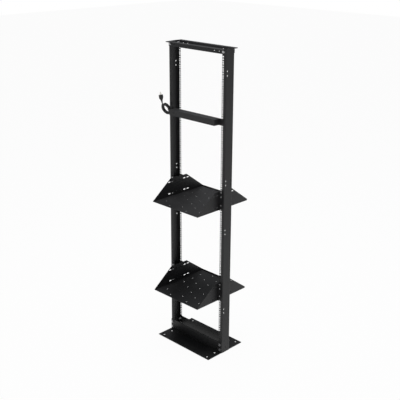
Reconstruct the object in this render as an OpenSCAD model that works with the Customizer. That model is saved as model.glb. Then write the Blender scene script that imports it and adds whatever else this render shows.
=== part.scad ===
// Two post open frame rack with a power strip and two centre shelves.
// Millimetres, Z up, the front faces -Y. The origin is on the floor, midway between the posts.

/* [Posts] */
// Height of the posts
rack_height = 2133.6; // [1200:0.1:2400]
// Depth of each channel, front flange to back flange
post_depth = 76.2; // [60:0.1:160]
// Width of each flange, from the web's outside to its free edge
flange_width = 32.4; // [28:0.1:50]
// Sheet thickness of the channels
post_wall = 2; // [1.5:0.1:4]
// Outside radius of the channel's two bends
post_bend = 4; // [3:0.5:6]
// Clear width between the posts
panel_opening = 450.8; // [450:0.1:460]

/* [Mounting holes] */
// Number of rack units in the posts
rack_units = 45; // [20:1:48]
// Height of one rack unit
unit_height = 44.45; // [44.45:0.01:44.46]
// Height of the lowest unit's lower edge above the floor
first_unit = 92; // [85:0.5:130]
// Distance between the two columns of mounting holes
rail_spacing = 465.1; // [465:0.1:466]
// Width of each oblong mounting hole
rail_hole_width = 12; // [8:0.1:13]
// Height of each oblong mounting hole
rail_hole_height = 8.6; // [7:0.1:10]
// Spacing of the three holes in a unit
rail_pitch = 15.875; // [15.8:0.005:15.9]

/* [Web holes] */
// Diameter of the cable guide holes in each web
guide_hole = 8.6; // [5:0.1:12]
// Distance between a guide hole and its partner above
guide_rise = 28; // [20:1:40]
// Distance between the front and the back column of guide holes
guide_span = 46; // [30:1:55]
// Diameter of the earthing hole at the foot of each web
earth_hole = 8; // [5:0.5:12]
// Height of the earthing hole
earth_height = 37; // [20:1:70]

/* [Base] */
// Length of the two base angles
base_length = 510; // [450:1:516]
// Reach of a base angle's floor flange, outwards from the post
base_reach = 133.4; // [80:0.1:200]
// Height of a base angle's upright flange
base_rise = 82; // [60:0.5:90]
// Thickness of the base and top angles
angle_wall = 4.8; // [3:0.1:8]
// Diameter of the floor anchor holes
anchor_hole = 14.3; // [8:0.1:20]
// Distance between the left and right anchor holes
anchor_width = 441; // [380:1:470]
// Distance from the post's face to the inner anchor holes
anchor_near = 33; // [15:1:60]
// Distance from the post's face to the outer anchor holes
anchor_far = 109; // [70:1:125]
// Height of the lower frame bolts
frame_bolt_low = 26.7; // [18:0.1:32]
// Height of the upper frame bolts
frame_bolt_high = 63.8; // [50:0.1:70]
// Diameter of the frame bolt holes
frame_hole = 10.3; // [8:0.1:13]

/* [Top] */
// Width of both flanges of a top angle
top_leg = 31.8; // [25:0.1:60]
// Distance of the inner ladder bracket holes from the middle
ladder_near = 160; // [100:1:180]
// Distance of the outer ladder bracket holes from the middle
ladder_far = 201; // [185:1:215]
// Diameter of the ladder bracket holes
ladder_hole = 9.5; // [6:0.1:12]

/* [Shelves] */
// Outside width of a shelf
shelf_width = 430; // [400:1:438]
// Depth of a shelf, front to back
shelf_depth = 482; // [300:1:600]
// Sheet thickness of the shelves
shelf_wall = 2; // [1.2:0.1:3]
// Height of a shelf's sides above its underside
side_height = 130; // [80:1:132]
// Length of the level top edge of a side
side_top = 156; // [110:1:240]
// Height of the lip along the back edge
back_lip = 10; // [6:0.5:25]
// Rack units below the upper shelf
upper_shelf_unit = 22; // [12:1:30]
// Rack units below the lower shelf
lower_shelf_unit = 7; // [2:1:9]
// Diameter of the holes in a shelf's floor
vent_hole = 8; // [4:0.1:12]
// Distance between two columns of floor holes
vent_pitch_x = 79.4; // [60:0.1:90]
// Distance between two floor holes of one column
vent_pitch_y = 84.6; // [60:0.1:95]
// Length of the slots in the sides
slot_length = 20.6; // [12:0.1:26]
// Width of the slots in the sides
slot_width = 7.1; // [5:0.1:10]
// Height of the lower row of slots above the shelf's underside
slot_low = 21; // [15:0.5:40]
// Height of the upper row of slots above the shelf's underside
slot_high = 105.3; // [80:0.1:115]

/* [Shelf brackets] */
// Thickness of the shelf brackets
bracket_wall = 3; // [2:0.1:4]
// Length of a bracket's leg along the shelf's side
bracket_leg = 34; // [28:0.5:36]
// Units that a bracket covers on the post
bracket_units = 3; // [2:1:3]
// Corner radius of the flat plates
plate_corner = 3; // [1:0.5:5]

/* [Power strip] */
// Width of the power strip's case
strip_width = 417; // [380:1:440]
// Height of the power strip's case
strip_height = 39.6; // [30:0.1:43]
// Depth of the power strip's case
strip_depth = 58; // [40:0.5:80]
// How far the case stands in front of its mounting face
strip_standout = 48; // [20:0.5:60]
// Rack units below the power strip
strip_unit = 35; // [30:1:43]
// Sheet thickness of the case and its brackets
strip_wall = 1.6; // [1:0.1:3]
// Width of a rack panel over its ears
panel_width = 482.6; // [482:0.1:483]
// Number of outlets on the back
outlet_count = 8; // [4:1:10]
// Width and height of one outlet's face
outlet_face = 27; // [24:0.5:32]

/* [Cord] */
// Diameter of the cord
cord_diameter = 6.4; // [6:0.1:9]
// Radius of the coil at the middle of its turns
coil_radius = 33; // [30:0.5:50]
// Radius of the bundle of turns
bundle_radius = 10.8; // [8:0.1:16]

/* [Hidden] */

steel_black = [0.10, 0.10, 0.11];
plastic_black = [0.06, 0.06, 0.07];
pin_metal = [0.80, 0.74, 0.58];

seat = 0.3;                                             // gap left where a curved face meets its neighbour
cut = 1;                                                // how far a cutter runs past the face it opens

half_opening = panel_opening / 2;
post_outside = half_opening + flange_width;
post_face = post_depth / 2;
rail_x = rail_spacing / 2;
flange_middle = half_opening + flange_width / 2;
guide_heights = [329, 918, 1263, 1982];                 // middle of each group of four guide holes

top_bolt_height = rack_height - top_leg / 2;

vent_columns = 2;                                       // columns of floor holes on each side of the middle
vent_rows = 2;                                          // rows on each side of the middle, in an even column
slot_places = [21, 56, 88.7];                           // distance of the slots from the shelf's middle
tip_height = 2;                                         // height of a side at the shelf's front edge
bracket_inset = 0.35;                                   // what a bracket stops short of its units, each end
side_x = shelf_width / 2;

strip_bottom = first_unit + strip_unit * unit_height + (unit_height - strip_height) / 2;
strip_middle = strip_bottom + strip_height / 2;
strip_front = post_face + strip_standout;
outlet_pitch = (strip_width - 37) / outlet_count;
outlet_plate = 4;                                       // thickness of the outlet plate
outlet_plate_height = outlet_face + 4;
outlet_raise = 1.2;                                     // how far the outlets stand out of it
outlet_depth = 4;                                       // depth of an outlet's slots
blade_place = 6.35;                                     // distance of a blade from the plug's middle
blade_slot = [1.8, 8];                                  // width and height of an outlet's slot
earth_slot = 5.2;
earth_drop = 8;                                         // distance of the earth pin below the blades
ear_leg = 12;                                           // length of an ear's leg along the case
breaker_x = -176;
breaker_bore = 12;
breaker_button = 11.4;
breaker_length = 10;
breaker_proud = 2;                                      // how far the breaker's button stands out

coil_centre = [-259, -66, 1684];
coil_lean = 20.5;                                       // the coil's top leans to the front, in degrees
clip_turn = 5;                                          // the clip's place round the coil, in degrees
clip_sweep = 22;                                        // how far the clip wraps along the coil, in degrees
clip_wall = 1.5;
clip_front = -55.5;
clip_foot = [14, 12];                                   // width and height of the clip's foot
clip_screw = 5.5;
relief_place = [-68.5, 1656];                           // depth and height of the cord's way out of the case
relief_length = 20;
relief_base = 5.5;                                      // radius of the strain relief's root
jacket = cord_diameter / 2;
sleeve = jacket + 0.6;                                  // radius of a strain relief's tip
entry_points = [                                        // from the strain relief into the coil
    [-228.5, -68.5, 1656], [-235, -68, 1654.7], [-241, -66.9, 1652.3], [-247, -65.1, 1649.7]
];
lead_points = [                                         // out of the coil and up to the plug
    [-297.6, -63.6, 1690.7], [-297.1, -65.7, 1695.8], [-296.5, -67.4, 1701],
    [-295.8, -68.8, 1706.3], [-295.2, -70, 1711.6], [-295, -71, 1717]
];
plug_lean = [8, -5];                                    // the plug stands along the lead's last stretch
plug_turn = 44;                                         // turns the row of pins, in degrees
plug_relief = 20;                                       // lengths of the plug's three parts
plug_length = 36;
pin_length = 17;
plug_neck = 13;
plug_width = 28;
plug_thickness = 24;
plug_rounding = 32.5;                                   // diameter of the plug's rounded corners
blade = [1.5, 6.4];                                     // thickness and width of a blade
blade_drop = 2;                                         // how far the blades sit off the plug's middle
earth_pin = 4.8;
earth_pin_place = 7;

function unit_z(units) = first_unit + units * unit_height;

// ---- Posts ----

// One flange of the channel with its bend, up to where the flat web begins; side is -1 for the front.
module flange_outline(side) {
    inner = max(post_bend - post_wall, 0.5);
    translate([half_opening, side > 0 ? post_face - post_wall : -post_face])
        square([flange_width - post_bend, post_wall]);
    intersection() {
        translate([post_outside - post_bend, side * (post_face - post_bend)])
            difference() {
                circle(r = post_bend, $fn = 48);
                circle(r = inner, $fn = 48);
            }
        translate([post_outside - post_bend, side > 0 ? post_face - post_bend : -post_face])
            square([post_bend, post_bend]);
    }
}

module web_outline() {
    translate([post_outside - post_wall, post_bend - post_face])
        square([post_wall, post_depth - 2 * post_bend]);
}

module rail_holes() {
    for (unit = [0:rack_units - 1], step = [-1:1])
        translate([rail_x, 0, unit_z(unit + 0.5) + step * rail_pitch])
            cube([rail_hole_width, post_depth + 2 * cut, rail_hole_height], center = true);
}

module flange_bolt_holes(heights) {
    for (z = heights)
        translate([flange_middle, 0, z])
            rotate([90, 0, 0]) cylinder(d = frame_hole, h = post_depth + 2 * cut, center = true, $fn = 32);
}

module web_holes() {
    for (middle = guide_heights, rise = [-1, 1], span = [-1, 1])
        translate([post_outside, span * guide_span / 2, middle + rise * guide_rise / 2])
            rotate([0, 90, 0]) cylinder(d = guide_hole, h = 4 * post_wall, center = true, $fn = 32);
    translate([post_outside, 0, earth_height])
        rotate([0, 90, 0]) cylinder(d = earth_hole, h = 4 * post_wall, center = true, $fn = 32);
}

module post_flange(side) {
    difference() {
        linear_extrude(height = rack_height) flange_outline(side);
        rail_holes();
        flange_bolt_holes([frame_bolt_low, frame_bolt_high, top_bolt_height]);
    }
}

module post_web() {
    difference() {
        linear_extrude(height = rack_height) web_outline();
        web_holes();
    }
}

module left_post_web() {
    color(steel_black) mirror([1, 0, 0]) post_web();
}

module left_post_front_flange() {
    color(steel_black) mirror([1, 0, 0]) post_flange(-1);
}

module left_post_back_flange() {
    color(steel_black) mirror([1, 0, 0]) post_flange(1);
}

module right_post_web() {
    color(steel_black) post_web();
}

module right_post_front_flange() {
    color(steel_black) post_flange(-1);
}

module right_post_back_flange() {
    color(steel_black) post_flange(1);
}

// ---- Base and top angles ----

module base_angle() {
    difference() {
        union() {
            translate([-base_length / 2, -post_face - base_reach, 0]) cube([base_length, base_reach, angle_wall]);
            translate([-base_length / 2, -post_face - angle_wall, 0]) cube([base_length, angle_wall, base_rise]);
        }
        for (side = [-1, 1], reach = [anchor_near, anchor_far])
            translate([side * anchor_width / 2, -post_face - reach, -cut])
                cylinder(d = anchor_hole, h = angle_wall + 2 * cut, $fn = 40);
        for (side = [-1, 1], z = [frame_bolt_low, frame_bolt_high])
            translate([side * flange_middle, -post_face - angle_wall / 2, z])
                rotate([90, 0, 0]) cylinder(d = frame_hole, h = angle_wall + 2 * cut, center = true, $fn = 32);
    }
}

module base_front_angle() {
    color(steel_black) base_angle();
}

module base_back_angle() {
    color(steel_black) rotate([0, 0, 180]) base_angle();
}

module top_angle() {
    difference() {
        translate([-base_length / 2, 0, rack_height - top_leg]) union() {
            translate([0, -post_face - angle_wall, 0]) cube([base_length, angle_wall, top_leg]);
            translate([0, -post_face - top_leg, top_leg - angle_wall]) cube([base_length, top_leg, angle_wall]);
        }
        for (side = [-1, 1], x = [ladder_near, ladder_far])
            translate([side * x, -post_face - angle_wall / 2, top_bolt_height])
                rotate([90, 0, 0]) cylinder(d = ladder_hole, h = angle_wall + 2 * cut, center = true, $fn = 32);
        for (side = [-1, 1])
            translate([side * flange_middle, -post_face - angle_wall / 2, top_bolt_height])
                rotate([90, 0, 0]) cylinder(d = frame_hole, h = angle_wall + 2 * cut, center = true, $fn = 32);
    }
}

module top_front_angle() {
    color(steel_black) top_angle();
}

module top_back_angle() {
    color(steel_black) rotate([0, 0, 180]) top_angle();
}

// ---- Shelves ----

module shelf_floor(units) {
    translate([0, 0, unit_z(units)]) difference() {
        union() {
            translate([-side_x, -shelf_depth / 2, 0]) cube([shelf_width, shelf_depth, shelf_wall]);
            translate([shelf_wall - side_x, shelf_depth / 2 - shelf_wall, 0])
                cube([shelf_width - 2 * shelf_wall, shelf_wall, back_lip]);
        }
        for (column = [-vent_columns:vent_columns]) {
            shifted = abs(column) % 2;
            for (row = [-vent_rows - shifted:vent_rows])
                translate([column * vent_pitch_x, (row + shifted / 2) * vent_pitch_y, -cut])
                    cylinder(d = vent_hole, h = shelf_wall + 2 * cut, $fn = 24);
        }
    }
}

module side_outline() {
    polygon([
        [-shelf_depth / 2, shelf_wall], [shelf_depth / 2, shelf_wall],
        [shelf_depth / 2, back_lip], [side_top / 2, side_height],
        [-side_top / 2, side_height], [-shelf_depth / 2, shelf_wall + tip_height]
    ]);
}

module slot() {
    straight = slot_length - slot_width;
    for (end = [-1, 1]) translate([end * straight / 2, 0]) circle(d = slot_width, $fn = 24);
    square([straight, slot_width], center = true);
}

module shelf_side(units, side) {
    translate([side > 0 ? side_x - shelf_wall : -side_x, 0, unit_z(units)])
        rotate([90, 0, 90]) linear_extrude(height = shelf_wall) difference() {
            side_outline();
            for (end = [-1, 1], place = slot_places, row = [slot_low, slot_high])
                translate([end * place, row]) slot();
        }
}

// A plate whose two outer corners are rounded.
module plate(width, height, wall) {
    linear_extrude(height = wall) {
        square([width - plate_corner, height]);
        translate([0, plate_corner]) square([width, height - 2 * plate_corner]);
        for (z = [plate_corner, height - plate_corner])
            translate([width - plate_corner, z]) circle(r = plate_corner, $fn = 32);
    }
}

module mirrored(axis, turned) {
    if (turned) mirror(axis) children();
    else children();
}

// An angle bracket: one leg on the shelf's side, the other on the post's face under two pairs of screws.
module bracket() {
    height = bracket_units * unit_height - 2 * bracket_inset;
    difference() {
        union() {
            translate([0, bracket_wall, 0]) rotate([90, 0, 0])
                plate(panel_width / 2 - side_x, height, bracket_wall);
            cube([bracket_wall, bracket_leg, height]);
        }
        for (unit = [0.5, bracket_units - 0.5], step = [-1, 1])
            translate([rail_x - side_x, bracket_wall / 2, unit * unit_height + step * rail_pitch - bracket_inset])
                rotate([90, 0, 0]) cylinder(d = slot_width, h = bracket_wall + 2 * cut, center = true, $fn = 24);
        for (row = [slot_low, slot_high])
            translate([bracket_wall / 2, post_face + bracket_wall - slot_places[0], row - bracket_inset])
                rotate([0, 90, 0]) cylinder(d = slot_width, h = bracket_wall + 2 * cut, center = true, $fn = 24);
    }
}

module shelf_bracket(units, side, face) {
    color(steel_black) mirrored([1, 0, 0], side < 0) mirrored([0, 1, 0], face > 0)
        translate([side_x, -post_face - bracket_wall, unit_z(units) + bracket_inset]) bracket();
}

module upper_shelf_floor() {
    color(steel_black) shelf_floor(upper_shelf_unit);
}

module upper_shelf_left_side() {
    color(steel_black) shelf_side(upper_shelf_unit, -1);
}

module upper_shelf_right_side() {
    color(steel_black) shelf_side(upper_shelf_unit, 1);
}

module lower_shelf_floor() {
    color(steel_black) shelf_floor(lower_shelf_unit);
}

module lower_shelf_left_side() {
    color(steel_black) shelf_side(lower_shelf_unit, -1);
}

module lower_shelf_right_side() {
    color(steel_black) shelf_side(lower_shelf_unit, 1);
}

module upper_bracket_front_left() {
    shelf_bracket(upper_shelf_unit, -1, -1);
}

module upper_bracket_front_right() {
    shelf_bracket(upper_shelf_unit, 1, -1);
}

module upper_bracket_back_left() {
    shelf_bracket(upper_shelf_unit, -1, 1);
}

module upper_bracket_back_right() {
    shelf_bracket(upper_shelf_unit, 1, 1);
}

module lower_bracket_front_left() {
    shelf_bracket(lower_shelf_unit, -1, -1);
}

module lower_bracket_front_right() {
    shelf_bracket(lower_shelf_unit, 1, -1);
}

module lower_bracket_back_left() {
    shelf_bracket(lower_shelf_unit, -1, 1);
}

module lower_bracket_back_right() {
    shelf_bracket(lower_shelf_unit, 1, 1);
}

// ---- Power strip ----

module power_strip_case() {
    color(steel_black) translate([-strip_width / 2, -strip_front, strip_bottom]) difference() {
        cube([strip_width, strip_depth, strip_height]);
        translate([strip_wall, strip_depth - outlet_plate, (strip_height - outlet_plate_height) / 2])
            cube([strip_width - 2 * strip_wall, outlet_plate + cut, outlet_plate_height]);
        translate([strip_width / 2 + breaker_x, -cut, strip_height / 2])
            rotate([-90, 0, 0]) cylinder(d = breaker_bore, h = breaker_length - breaker_proud + cut, $fn = 32);
    }
}

module strip_ear() {
    height = unit_height - 2 * bracket_inset;
    ear_width = (panel_width - strip_width) / 2;
    translate([strip_width / 2, -post_face - strip_wall, unit_z(strip_unit) + bracket_inset]) {
        difference() {
            translate([0, strip_wall, 0]) rotate([90, 0, 0]) plate(ear_width, height, strip_wall);
            for (step = [-1, 1])
                translate([rail_x - strip_width / 2, strip_wall / 2, height / 2 + step * rail_pitch])
                    rotate([90, 0, 0]) cylinder(d = slot_width, h = strip_wall + 2 * cut, center = true, $fn = 24);
        }
        translate([0, -ear_leg, (height - strip_height) / 2])
            cube([strip_wall, ear_leg + strip_wall, strip_height]);
    }
}

module power_strip_left_ear() {
    color(steel_black) mirror([1, 0, 0]) strip_ear();
}

module power_strip_right_ear() {
    color(steel_black) strip_ear();
}

module outlet_holes() {
    for (side = [-1, 1])
        translate([side * blade_place, 0, earth_drop / 2])
            cube([blade_slot[0], 2 * outlet_depth, blade_slot[1]], center = true);
    translate([0, 0, -earth_drop])
        rotate([90, 0, 0]) cylinder(d = earth_slot, h = 2 * outlet_depth, center = true, $fn = 24);
}

module power_strip_outlets() {
    color(plastic_black) translate([0, strip_depth - strip_front, strip_middle]) difference() {
        union() {
            translate([0, -outlet_plate / 2, 0])
                cube([strip_width - 2 * strip_wall, outlet_plate, outlet_plate_height], center = true);
            for (outlet = [0:outlet_count - 1])
                translate([(outlet - (outlet_count - 1) / 2) * outlet_pitch, 0, 0])
                    cube([outlet_face, 2 * outlet_raise, outlet_face], center = true);
        }
        for (outlet = [0:outlet_count - 1])
            translate([(outlet - (outlet_count - 1) / 2) * outlet_pitch, 0, 0]) outlet_holes();
    }
}

module power_strip_breaker() {
    color(plastic_black) translate([breaker_x, -strip_front - breaker_proud, strip_middle])
        rotate([-90, 0, 0]) cylinder(d = breaker_button, h = breaker_length, $fn = 40);
}

// ---- Cord and plug ----

module cord_strain_relief() {
    root = 3;
    color(plastic_black) translate([-strip_width / 2, relief_place[0], relief_place[1]])
        rotate([0, -90, 0]) rotate_extrude($fn = 40)
            polygon([[0, 0], [relief_base, 0], [relief_base, root], [sleeve, relief_length], [0, relief_length]]);
}

module coil_place() {
    translate(coil_centre) rotate([90 + coil_lean, 0, 0]) children();
}

module cord_coil() {
    color(plastic_black) coil_place()
        rotate_extrude($fn = 96) translate([coil_radius, 0]) circle(r = bundle_radius, $fn = 32);
}

// A clip that holds the coil's right side, under the upper screw of the strip's left ear.
module cord_clip() {
    clip_z = unit_z(strip_unit + 0.5) + rail_pitch;
    ear_front = -post_face - strip_wall;
    color(plastic_black) {
        coil_place() rotate([0, 0, clip_turn - clip_sweep / 2]) rotate_extrude(angle = clip_sweep, $fn = 96)
            translate([coil_radius, 0]) difference() {
                circle(r = bundle_radius + clip_wall + seat, $fn = 40);
                circle(r = bundle_radius + seat, $fn = 40);
            }
        difference() {
            translate([-rail_x - clip_foot[0] / 2, ear_front - clip_wall, clip_z - clip_foot[1] / 2])
                cube([clip_foot[0], clip_wall, clip_foot[1]]);
            translate([-rail_x, ear_front, clip_z])
                rotate([90, 0, 0]) cylinder(d = clip_screw, h = 4 * clip_wall, center = true, $fn = 24);
        }
        translate([-rail_x + clip_foot[0] / 2 - clip_wall, clip_front, clip_z - clip_foot[1] / 2])
            cube([clip_wall, ear_front - clip_front, clip_foot[1]]);
    }
}

// A tube of rings swept along a route; each ring faces along the route at its point.
function unit_vector(v) = v / norm(v);
function route_way(route, i) =
    unit_vector(route[min(i + 1, len(route) - 1)] - route[max(i - 1, 0)]);
function ring_point(centre, way, radius, angle) =
    let (side = unit_vector(cross(way, [0, 1, 0])), up = cross(side, way))
    centre + radius * (cos(angle) * side + sin(angle) * up);

module tube(route, radius, sides = 12) {
    last = len(route) - 1;
    points = [
        for (i = [0:last], j = [0:sides - 1])
            ring_point(route[i], route_way(route, i), radius, 360 * j / sides)
    ];
    walls = [
        for (i = [0:last - 1], j = [0:sides - 1])
            [i * sides + j, i * sides + (j + 1) % sides, (i + 1) * sides + (j + 1) % sides, (i + 1) * sides + j]
    ];
    first_end = [for (j = [sides - 1:-1:0]) j];
    last_end = [for (j = [0:sides - 1]) last * sides + j];
    polyhedron(points = points, faces = concat([first_end], walls, [last_end]), convexity = 4);
}

module cord_lead() {
    color(plastic_black) {
        tube(entry_points, jacket);
        tube(lead_points, jacket);
    }
}

module plug_place(reach) {
    translate(lead_points[len(lead_points) - 1]) rotate([plug_lean[0], plug_lean[1], 0]) rotate([0, 0, plug_turn])
        translate([0, 0, reach]) children();
}

module plug_strain_relief() {
    color(plastic_black) plug_place(0) rotate_extrude($fn = 40)
        polygon([[0, 0], [sleeve, 0], [plug_neck / 2, plug_relief], [0, plug_relief]]);
}

module plug_outline(width) {
    polygon([
        [-plug_neck / 2, 0], [plug_neck / 2, 0], [width / 2, plug_length * 0.5],
        [width / 2, plug_length], [-width / 2, plug_length], [-width / 2, plug_length * 0.5]
    ]);
}

module plug_body() {
    color(plastic_black) plug_place(plug_relief) intersection() {
        rotate([90, 0, 0]) linear_extrude(height = 2 * plug_width, center = true) plug_outline(plug_width);
        rotate([90, 0, 90]) linear_extrude(height = 2 * plug_width, center = true) plug_outline(plug_thickness);
        cylinder(d = plug_rounding, h = plug_length, $fn = 64);
    }
}

module plug_pins() {
    color(pin_metal) plug_place(plug_relief + plug_length) {
        for (side = [-1, 1])
            translate([side * blade_place, -blade_drop, pin_length / 2])
                cube([blade[0], blade[1], pin_length], center = true);
        translate([0, earth_pin_place, 0]) cylinder(d = earth_pin, h = pin_length + 2, $fn = 24);
    }
}

left_post_web();
left_post_front_flange();
left_post_back_flange();
right_post_web();
right_post_front_flange();
right_post_back_flange();
base_front_angle();
base_back_angle();
top_front_angle();
top_back_angle();
upper_shelf_floor();
upper_shelf_left_side();
upper_shelf_right_side();
upper_bracket_front_left();
upper_bracket_front_right();
upper_bracket_back_left();
upper_bracket_back_right();
lower_shelf_floor();
lower_shelf_left_side();
lower_shelf_right_side();
lower_bracket_front_left();
lower_bracket_front_right();
lower_bracket_back_left();
lower_bracket_back_right();
power_strip_case();
power_strip_left_ear();
power_strip_right_ear();
power_strip_outlets();
power_strip_breaker();
cord_strain_relief();
cord_coil();
cord_clip();
cord_lead();
plug_strain_relief();
plug_body();
plug_pins();
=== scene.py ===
import bpy
import bmesh
import math
from mathutils import Matrix, Vector


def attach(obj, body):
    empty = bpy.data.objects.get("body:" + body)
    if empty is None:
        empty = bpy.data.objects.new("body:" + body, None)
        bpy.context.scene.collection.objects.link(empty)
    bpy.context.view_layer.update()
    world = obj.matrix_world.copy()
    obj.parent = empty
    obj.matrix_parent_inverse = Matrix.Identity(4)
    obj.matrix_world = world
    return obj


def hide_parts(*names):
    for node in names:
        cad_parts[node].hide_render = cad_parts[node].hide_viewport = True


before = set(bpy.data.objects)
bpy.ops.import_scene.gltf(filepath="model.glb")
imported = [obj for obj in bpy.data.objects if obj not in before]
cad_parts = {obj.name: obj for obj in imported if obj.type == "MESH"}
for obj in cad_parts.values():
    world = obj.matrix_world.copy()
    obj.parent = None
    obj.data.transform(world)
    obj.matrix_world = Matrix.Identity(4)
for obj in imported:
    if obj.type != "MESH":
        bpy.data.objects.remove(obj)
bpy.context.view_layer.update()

root = "root"
scene = bpy.context.scene


cameraSetup = {
    "place": (3.4636, -3.4907, 2.8377),
    "turn": 44.79,  # degrees round from straight in front
    "down": 19.70,
    "roll": 0.22,
    "lens": 68.57,
    "sensor": 36,
    "reach": 60,
}


def makeCamera(setup):
    camera = bpy.data.cameras.new("rackCamera")
    camera.lens = setup["lens"]
    camera.sensor_width = setup["sensor"]
    camera.clip_end = setup["reach"]
    holder = bpy.data.objects.new("rackCamera", camera)
    scene.collection.objects.link(holder)
    turn, down = math.radians(setup["turn"]), math.radians(setup["down"])
    ahead = Vector((-math.sin(turn) * math.cos(down), math.cos(turn) * math.cos(down), -math.sin(down)))
    holder.rotation_mode = "QUATERNION"
    holder.rotation_quaternion = ahead.to_track_quat("-Z", "Y") @ Matrix.Rotation(
        math.radians(setup["roll"]), 4, "Z").to_quaternion()
    holder.location = setup["place"]
    scene.camera = holder


makeCamera(cameraSetup)
print("camera set")


sharpAngle = math.radians(35)  # edges sharper than this stay crisp


def makeObject(name, work, material):
    mesh = bpy.data.meshes.new(name)
    bmesh.ops.recalc_face_normals(work, faces=work.faces)
    work.to_mesh(mesh)
    work.free()
    made = bpy.data.objects.new(name, mesh)
    scene.collection.objects.link(made)
    mesh.materials.append(material)
    mesh.shade_smooth()
    mesh.set_sharp_from_angle(angle=sharpAngle)
    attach(made, root)
    return made


def alongAxis(axis):
    # turns a form that stands along +Z so that it stands along the axis
    return Vector(axis).to_track_quat("Z", "Y").to_matrix().to_4x4()


def addRing(work, turned, radius, height, steps):
    ring = []
    for step in range(steps):
        angle = 2 * math.pi * step / steps
        ring.append(work.verts.new(turned @ Vector((radius * math.cos(angle), radius * math.sin(angle), height))))
    return ring


def addLathe(work, profile, place, axis, steps):
    # profile holds pairs of radius and height, from the bottom up, closed by a point on the axis at each end
    turned = Matrix.Translation(place) @ alongAxis(axis)
    rings = []
    for radius, height in profile:
        if radius < 1e-7:
            rings.append([work.verts.new(turned @ Vector((0, 0, height)))])
            continue
        rings.append(addRing(work, turned, radius, height, steps))
    for low, high in zip(rings, rings[1:]):
        for step in range(steps):
            after = (step + 1) % steps
            if len(low) == 1 and len(high) == 1:
                continue
            if len(low) == 1:
                work.faces.new((low[0], high[after], high[step]))
            elif len(high) == 1:
                work.faces.new((low[step], low[after], high[0]))
            else:
                work.faces.new((low[step], low[after], high[after], high[step]))


def newMaterial(name):
    material = bpy.data.materials.new(name)
    material.use_nodes = True
    nodes, links = material.node_tree.nodes, material.node_tree.links
    shader = nodes["Principled BSDF"]
    place = nodes.new("ShaderNodeTexCoord")
    return material, nodes, links, shader, place


def addNoise(nodes, links, place, scale, detail=2.0):
    noise = nodes.new("ShaderNodeTexNoise")
    noise.inputs["Scale"].default_value = scale
    noise.inputs["Detail"].default_value = detail
    noise.inputs["Roughness"].default_value = 0.5
    links.new(place.outputs["Object"], noise.inputs["Vector"])
    return noise


def addRange(nodes, links, value, low, high):
    spread = nodes.new("ShaderNodeMapRange")
    spread.inputs["To Min"].default_value = low
    spread.inputs["To Max"].default_value = high
    links.new(value, spread.inputs["Value"])
    return spread.outputs["Result"]


def addColours(nodes, links, value, stops):
    ramp = nodes.new("ShaderNodeValToRGB")
    while len(ramp.color_ramp.elements) < len(stops):
        ramp.color_ramp.elements.new(0.5)
    for element, (place, colour) in zip(ramp.color_ramp.elements, stops):
        element.position = place
        element.color = (*colour, 1)
    links.new(value, ramp.inputs["Fac"])
    return ramp.outputs["Color"]


def addBump(nodes, links, shader, height, strength, distance):
    bump = nodes.new("ShaderNodeBump")
    bump.inputs["Strength"].default_value = strength
    bump.inputs["Distance"].default_value = distance
    links.new(height, bump.inputs["Height"])
    links.new(bump.outputs["Normal"], shader.inputs["Normal"])


powderCoat = {
    "dark": (0.0150, 0.0150, 0.0158),
    "light": (0.0215, 0.0215, 0.0225),
    "grain": 900,  # peaks to the metre in the coat's fine texture
    "cloud": 9,
    "roughness": (0.40, 0.50),
    "bump": 0.25,
    "depth": 0.0004,
    "shine": 0.35,
}


def makePowderCoat(name, look, lift=1.0):
    material, nodes, links, shader, place = newMaterial(name)
    cloud = addNoise(nodes, links, place, look["cloud"], 3)
    dark = [lift * part for part in look["dark"]]
    light = [lift * part for part in look["light"]]
    colour = addColours(nodes, links, cloud.outputs["Fac"], ((0.3, dark), (0.7, light)))
    links.new(colour, shader.inputs["Base Color"])
    grain = addNoise(nodes, links, place, look["grain"], 2)
    links.new(addRange(nodes, links, cloud.outputs["Fac"], *look["roughness"]), shader.inputs["Roughness"])
    addBump(nodes, links, shader, grain.outputs["Fac"], look["bump"], look["depth"])
    shader.inputs["Specular IOR Level"].default_value = look["shine"]
    return material


zincLook = {"dark": (0.42, 0.42, 0.43), "light": (0.60, 0.60, 0.60), "roughness": (0.24, 0.38)}
screwLook = {"dark": (0.05, 0.05, 0.052), "light": (0.09, 0.09, 0.092), "roughness": (0.3, 0.42)}
nickelLook = {"dark": (0.60, 0.57, 0.50), "light": (0.74, 0.71, 0.64), "roughness": (0.16, 0.26)}
platingTexture = {"cloud": 240, "grain": 2600, "bump": 0.15, "depth": 0.0001}


def paintClouds(nodes, links, shader, place, look, scale):
    # soft clouds of colour and of gloss
    cloud = addNoise(nodes, links, place, scale, 3)
    colour = addColours(nodes, links, cloud.outputs["Fac"], ((0.3, look["dark"]), (0.7, look["light"])))
    links.new(colour, shader.inputs["Base Color"])
    links.new(addRange(nodes, links, cloud.outputs["Fac"], *look["roughness"]), shader.inputs["Roughness"])


def makePlatedMetal(name, look):
    material, nodes, links, shader, place = newMaterial(name)
    paintClouds(nodes, links, shader, place, look, platingTexture["cloud"])
    grain = addNoise(nodes, links, place, platingTexture["grain"])
    addBump(nodes, links, shader, grain.outputs["Fac"], platingTexture["bump"], platingTexture["depth"])
    shader.inputs["Metallic"].default_value = 1.0
    return material


plasticLook = {
    "dark": (0.010, 0.010, 0.011),
    "light": (0.016, 0.016, 0.017),
    "roughness": (0.42, 0.55),
    "cloud": 40,
    "grain": 1500,
    "bump": 0.2,
    "depth": 0.0002,
}
jacketLook = {
    "dark": (0.012, 0.012, 0.013),
    "light": (0.020, 0.020, 0.021),
    "roughness": (0.45, 0.6),
    "cloud": 40,
    "grain": 900,
    "bump": 0.15,
    "depth": 0.0002,
}


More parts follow.
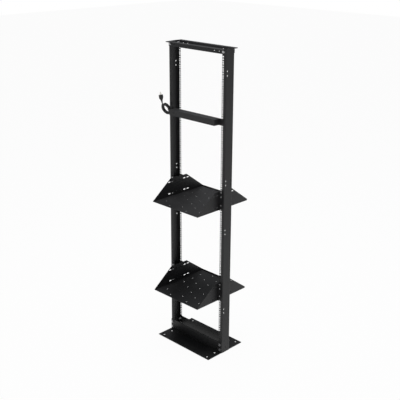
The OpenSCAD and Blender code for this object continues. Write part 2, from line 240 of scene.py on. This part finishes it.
def makePlastic(name, look):
    material, nodes, links, shader, place = newMaterial(name)
    paintClouds(nodes, links, shader, place, look, look["cloud"])
    grain = addNoise(nodes, links, place, look["grain"])
    addBump(nodes, links, shader, grain.outputs["Fac"], look["bump"], look["depth"])
    return material


blackSteel = makePowderCoat("blackSteel", powderCoat)
stripSteel = makePowderCoat("stripSteel", powderCoat, 1.1)
blackScrew = makePlatedMetal("blackScrew", screwLook)
zincSteel = makePlatedMetal("zincSteel", zincLook)
nickelPlate = makePlatedMetal("nickelPlate", nickelLook)
blackPlastic = makePlastic("blackPlastic", plasticLook)
cordJacket = makePlastic("cordJacket", jacketLook)
print("materials made")


cordRoute = {
    "diameter": 0.0064,
    "entry": [  # from the strain relief into the coil
        (-0.2285, -0.0685, 1.656), (-0.235, -0.068, 1.6547), (-0.241, -0.0669, 1.6523),
        (-0.247, -0.0651, 1.6497), (-0.2533, -0.0636, 1.6484), (-0.2598, -0.0626, 1.6485),
        (-0.2663, -0.0622, 1.6498), (-0.2724, -0.0625, 1.6524)],
    "lead": [  # out of the coil and up to the plug
        (-0.2971, -0.0657, 1.6958), (-0.2965, -0.0674, 1.701), (-0.2958, -0.0688, 1.7063),
        (-0.2952, -0.0700, 1.7116), (-0.295, -0.071, 1.717)],
    "centre": (-0.259, -0.066, 1.684),
    "lean": 20.5,
    "radius": 0.033,
    "bundle": 0.0075,  # distance of each turn from the bundle's middle
    "first": -125,  # where the turns begin and end, in degrees
    "last": -190 - 360 * 6,
    "step": 9,
    "slotStart": 90,
    "slotTurn": 1080 / 7,  # how far a turn moves round the bundle
    "length": 1.339,
}


def coilPoint(setup, angle):
    lean = math.radians(setup["lean"])
    across, up = Vector((1, 0, 0)), Vector((0, -math.sin(lean), math.cos(lean)))
    front = across.cross(up)
    turned = math.radians(angle)
    slotAngle = math.radians(setup["slotStart"] + (setup["first"] - angle) / 360 * setup["slotTurn"])
    outward = across * math.cos(turned) + up * math.sin(turned)
    reach = setup["radius"] + setup["bundle"] * math.cos(slotAngle)
    return Vector(setup["centre"]) + outward * reach + front * setup["bundle"] * math.sin(slotAngle)


def cordPoints(setup):
    points = [Vector(point) for point in setup["entry"]]
    angle = setup["first"]
    while angle > setup["last"]:
        points.append(coilPoint(setup, angle))
        angle -= setup["step"]
    points.append(coilPoint(setup, setup["last"]))
    return points + [Vector(point) for point in setup["lead"]]


def makeCord(setup):
    points = cordPoints(setup)
    curve = bpy.data.curves.new("powerCord", "CURVE")
    curve.dimensions = "3D"
    curve.bevel_depth = setup["diameter"] / 2
    curve.bevel_resolution = 5
    curve.resolution_u = 3
    curve.use_fill_caps = True
    line = curve.splines.new("BEZIER")
    line.bezier_points.add(len(points) - 1)
    for index, (knot, point) in enumerate(zip(line.bezier_points, points)):
        before, after = points[max(index - 1, 0)], points[min(index + 1, len(points) - 1)]
        way = (after - before).normalized()
        if index == 0:
            way = Vector((-1, 0, 0))
        knot.co = point
        knot.handle_left = point - way * (point - before).length / 3
        knot.handle_right = point + way * (after - point).length / 3
    made = bpy.data.objects.new("powerCord", curve)
    scene.collection.objects.link(made)
    curve.materials.append(cordJacket)
    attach(made, root)
    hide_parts("cord_coil", "cord_lead")


makeCord(cordRoute)
print("cord laid")


nodeFinish = {
    "power_strip_case": stripSteel,
    "power_strip_left_ear": stripSteel,
    "power_strip_right_ear": stripSteel,
    "power_strip_outlets": blackPlastic,
    "power_strip_breaker": blackPlastic,
    "cord_clip": blackPlastic,
    "cord_strain_relief": cordJacket,
    "plug_strain_relief": cordJacket,
    "plug_body": cordJacket,
    "plug_pins": nickelPlate,
}


def finishNodes():
    for name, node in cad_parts.items():
        material = nodeFinish.get(name, blackSteel)
        if not node.material_slots:
            node.data.materials.append(material)
        for slot in node.material_slots:
            slot.material = material


finishNodes()
print("finishes given")


rackSizes = {
    "face": 0.0381,  # the posts' front and back faces
    "wall": 0.002,
    "angle": 0.0048,
    "boltX": 0.2416,
    "railX": 0.23255,
    "firstUnit": 0.092,
    "unit": 0.04445,
    "pitch": 0.015875,
    "sideX": 0.215,
    "sideWall": 0.002,
    "bracketWall": 0.003,
    "baseBolts": (0.0267, 0.0638),
    "topBolts": (2.1177,),
}
shelfUnits = {"upper": 22, "lower": 7}  # units below each shelf's brackets

hexBolt = {
    "across": 0.0150,
    "head": 0.0064,
    "washer": 0.0105,
    "washerWall": 0.0018,
    "shank": 0.0049,
    "nut": 0.0082,
    "tail": 0.004,
}


def addHexHead(work, place, axis, across, height):
    radius = across / math.sqrt(3)
    addLathe(work, ((0, 0), (radius, 0), (radius, height * 0.80), (radius * 0.86, height), (radius * 0.5, height),
                    (0, height)), place, axis, steps=6)


def addWasher(work, place, axis, radius, wall):
    profile = ((0, 0), (radius * 0.985, 0), (radius, wall * 0.2), (radius, wall * 0.8),
               (radius * 0.985, wall), (0, wall))
    addLathe(work, profile, place, axis, steps=36)


def addShank(work, place, axis, radius, length):
    addLathe(work, ((0, 0), (radius, 0), (radius, length - radius * 0.2), (radius * 0.8, length), (0, length)),
             place, axis, steps=24)


def makeFrameBolts(name, heights, faceSide):
    # faceSide is -1 for the front angles and 1 for the back ones
    work = bmesh.new()
    out, inward = (0, faceSide, 0), (0, -faceSide, 0)
    across, washer, wall = hexBolt["across"], hexBolt["washer"], hexBolt["washerWall"]
    outer = faceSide * (rackSizes["face"] + rackSizes["angle"])
    inner = faceSide * (rackSizes["face"] - rackSizes["wall"])
    length = rackSizes["angle"] + rackSizes["wall"] + wall + hexBolt["nut"] + hexBolt["tail"]
    for side in (-1, 1):
        spot = side * rackSizes["boltX"]
        for height in heights:
            addWasher(work, (spot, outer, height), out, washer, wall)
            addHexHead(work, (spot, outer + faceSide * wall, height), out, across, hexBolt["head"])
            addWasher(work, (spot, inner, height), inward, washer, wall)
            addHexHead(work, (spot, inner - faceSide * wall, height), inward, across, hexBolt["nut"])
            addShank(work, (spot, outer, height), inward, hexBolt["shank"], length)
    return makeObject(name, work, zincSteel)


for end in ("base", "top"):
    for face, faceSide in (("Front", -1), ("Back", 1)):
        makeFrameBolts(end + face + "Bolts", rackSizes[end + "Bolts"], faceSide)

rackScrew = {"head": 0.0053, "rise": 0.0034, "shank": 0.0027, "length": 0.014, "driver": 0.0042, "depth": 0.0016}


def addPanScrew(work, place, axis, sizes):
    # a pan head with a cross recess that is cut as a four-armed hollow
    head, rise = sizes["head"], sizes["rise"]
    arm, wide, depth = sizes["driver"] / 2, sizes["driver"] * 0.13, sizes["depth"]
    turned = Matrix.Translation(place) @ alongAxis(axis)
    outline = [(arm, wide), (wide, wide), (wide, arm), (-wide, arm), (-wide, wide), (-arm, wide),
               (-arm, -wide), (-wide, -wide), (-wide, -arm), (wide, -arm), (wide, -wide), (arm, -wide)]
    steps = 24
    profile = ((head * 0.94, 0), (head, rise * 0.15), (head * 0.97, rise * 0.55), (head * 0.82, rise * 0.85),
               (head * 0.55, rise))
    rings = [addRing(work, turned, radius, height, steps) for radius, height in profile]
    work.faces.new(list(reversed(rings[0])))
    for low, high in zip(rings, rings[1:]):
        for step in range(steps):
            after = (step + 1) % steps
            work.faces.new((low[step], low[after], high[after], high[step]))
    lip = [work.verts.new(turned @ Vector((x, y, rise))) for x, y in outline]
    floor = [work.verts.new(turned @ Vector((x * 0.6, y * 0.6, rise - depth))) for x, y in outline]
    top = rings[-1]
    # each corner of the cross is joined to the nearest step of the head's top ring
    order = [(0, 0), (1, 3), (2, 6), (3, 6), (4, 9), (5, 12),
             (6, 12), (7, 15), (8, 18), (9, 18), (10, 21), (11, 24)]
    for (a, start), (b, end) in zip(order, order[1:] + [(0, 24)]):
        corner = [top[step % steps] for step in range(start, end + 1)]
        work.faces.new(corner + ([lip[b]] if b != a else []) + [lip[a]])
    for step in range(12):
        after = (step + 1) % 12
        work.faces.new((lip[step], lip[after], floor[after], floor[step]))
    work.faces.new(floor)
    addShank(work, place, [-part for part in axis], sizes["shank"], sizes["length"])


def unitHeight(units):
    return rackSizes["firstUnit"] + units * rackSizes["unit"]


def makeRackScrews(name, places, material, axis, outer):
    work = bmesh.new()
    for x, z in places:
        addPanScrew(work, (x, outer, z), axis, rackScrew)
    return makeObject(name, work, material)


def bracketHeights(units):
    # the outer holes of a bracket's first and third units
    low, unit, pitch = unitHeight(units), rackSizes["unit"], rackSizes["pitch"]
    return [low + middle * unit + way * pitch for middle in (0.5, 2.5) for way in (-1, 1)]


def makeShelfScrews():
    for shelf, units in shelfUnits.items():
        for faceSide, face in ((-1, "Front"), (1, "Back")):
            outer = faceSide * (rackSizes["face"] + rackSizes["bracketWall"])
            spots = [(side * rackSizes["railX"], z) for side in (-1, 1) for z in bracketHeights(units)]
            makeRackScrews(shelf + "Bracket" + face + "Screws", spots, zincSteel, (0, faceSide, 0), outer)


makeShelfScrews()


stripMount = {"unit": 35.5, "earWall": 0.0016, "clipWall": 0.0015}


def makeStripScrews():
    middle = unitHeight(stripMount["unit"])
    low, high = middle - rackSizes["pitch"], middle + rackSizes["pitch"]
    right, left = rackSizes["railX"], -rackSizes["railX"]
    front, outer = (0, -1, 0), -(rackSizes["face"] + stripMount["earWall"])
    makeRackScrews("stripEarScrews", [(right, high), (right, low), (left, low)], blackScrew, front, outer)
    makeRackScrews("stripClipScrew", [(left, high)], zincSteel, front, outer - stripMount["clipWall"])


makeStripScrews()

sideScrew = {
    "head": 0.0058,
    "rise": 0.0032,
    "shank": 0.0029,
    "length": 0.011,
    "driver": 0.0044,
    "depth": 0.0016,
    "rows": (-0.021, 0.021),
    "heights": (0.021, 0.1053),
    "nutAcross": 0.0098,
    "nut": 0.0042,
}


def makeSideScrews():
    # four screws from inside the shelf hold each of its sides to the brackets' legs
    for shelf, units in shelfUnits.items():
        work = bmesh.new()
        for side in (-1, 1):
            inner = side * (rackSizes["sideX"] - rackSizes["sideWall"])
            outer = side * (rackSizes["sideX"] + rackSizes["bracketWall"])
            for y in sideScrew["rows"]:
                for rise in sideScrew["heights"]:
                    z = unitHeight(units) + rise
                    addPanScrew(work, (inner, y, z), (-side, 0, 0), sideScrew)
                    addHexHead(work, (outer, y, z), (side, 0, 0), sideScrew["nutAcross"], sideScrew["nut"])
        makeObject(shelf + "ShelfSideScrews", work, blackScrew)


makeSideScrews()
print("bolts and screws made")


stageLook = {"size": 40, "white": 0.80, "clear": 0.96, "drop": 0.0005}
worldLook = {"colour": (0.95, 0.97, 1.0), "strength": 0.22}


def addEitherRay(nodes, links, first, second):
    path = nodes.new("ShaderNodeLightPath")
    either = nodes.new("ShaderNodeMath")
    either.operation = "MAXIMUM"
    links.new(path.outputs[first], either.inputs[0])
    links.new(path.outputs[second], either.inputs[1])
    return either.outputs["Value"]


def makeStage(look):
    material, nodes, links, shader, place = newMaterial("paleFloor")
    shader.inputs["Base Color"].default_value = (look["white"], look["white"], look["white"], 1)
    shader.inputs["Roughness"].default_value = 0.9
    shader.inputs["Specular IOR Level"].default_value = 0.1
    # the eye sees a clear white floor, and the light meets a pale one
    glow = nodes.new("ShaderNodeEmission")
    glow.inputs["Strength"].default_value = 1.0
    share = nodes.new("ShaderNodeMath")
    share.operation = "MULTIPLY"
    share.inputs[1].default_value = look["clear"]
    mix = nodes.new("ShaderNodeMixShader")
    links.new(addEitherRay(nodes, links, "Is Camera Ray", "Is Glossy Ray"), share.inputs[0])
    links.new(share.outputs["Value"], mix.inputs["Fac"])
    links.new(shader.outputs["BSDF"], mix.inputs[1])
    links.new(glow.outputs["Emission"], mix.inputs[2])
    links.new(mix.outputs["Shader"], nodes["Material Output"].inputs["Surface"])
    mesh = bpy.data.meshes.new("paleFloor")
    half = look["size"] / 2
    mesh.from_pydata([(-half, -half, 0), (half, -half, 0), (half, half, 0), (-half, half, 0)], [], [(0, 1, 2, 3)])
    floor = bpy.data.objects.new("paleFloor", mesh)
    mesh.materials.append(material)
    scene.collection.objects.link(floor)
    floor.location.z = -look["drop"]


makeStage(stageLook)


def makeWorld(look):
    world = bpy.data.worlds.new("studio")
    scene.world = world
    world.use_nodes = True
    nodes, links = world.node_tree.nodes, world.node_tree.links
    nodes.clear()
    output = nodes.new("ShaderNodeOutputWorld")
    light = nodes.new("ShaderNodeBackground")
    light.inputs["Color"].default_value = (*look["colour"], 1)
    light.inputs["Strength"].default_value = look["strength"]
    white = nodes.new("ShaderNodeBackground")
    white.inputs["Color"].default_value = (1, 1, 1, 1)
    white.inputs["Strength"].default_value = 1.0
    mix = nodes.new("ShaderNodeMixShader")
    links.new(addEitherRay(nodes, links, "Is Camera Ray", "Is Transmission Ray"), mix.inputs["Fac"])
    links.new(light.outputs["Background"], mix.inputs[1])
    links.new(white.outputs["Background"], mix.inputs[2])
    links.new(mix.outputs["Shader"], output.inputs["Surface"])


makeWorld(worldLook)

lamps = {
    "keyLamp": {"place": (2.5, -3.5, 5.0), "aim": (0, 0, 1.1), "size": 2.5, "power": 12},
    "rightLamp": {"place": (4.5, 0.5, 2.5), "aim": (0, 0, 1.0), "size": 2.5, "power": 8},
    "topLamp": {"place": (0, 0, 5.5), "aim": (0, 0, 0), "size": 3.0, "power": 200},
}


def makeLamps(setups):
    for name, setup in setups.items():
        lamp = bpy.data.lights.new(name, "AREA")
        lamp.size = setup["size"]
        lamp.energy = setup["power"]
        holder = bpy.data.objects.new(name, lamp)
        holder.location = setup["place"]
        aim = Vector(setup["aim"]) - Vector(setup["place"])
        holder.rotation_euler = aim.to_track_quat("-Z", "Y").to_euler()
        scene.collection.objects.link(holder)


makeLamps(lamps)
scene.view_settings.view_transform = "Standard"
print("stage and lamps set")
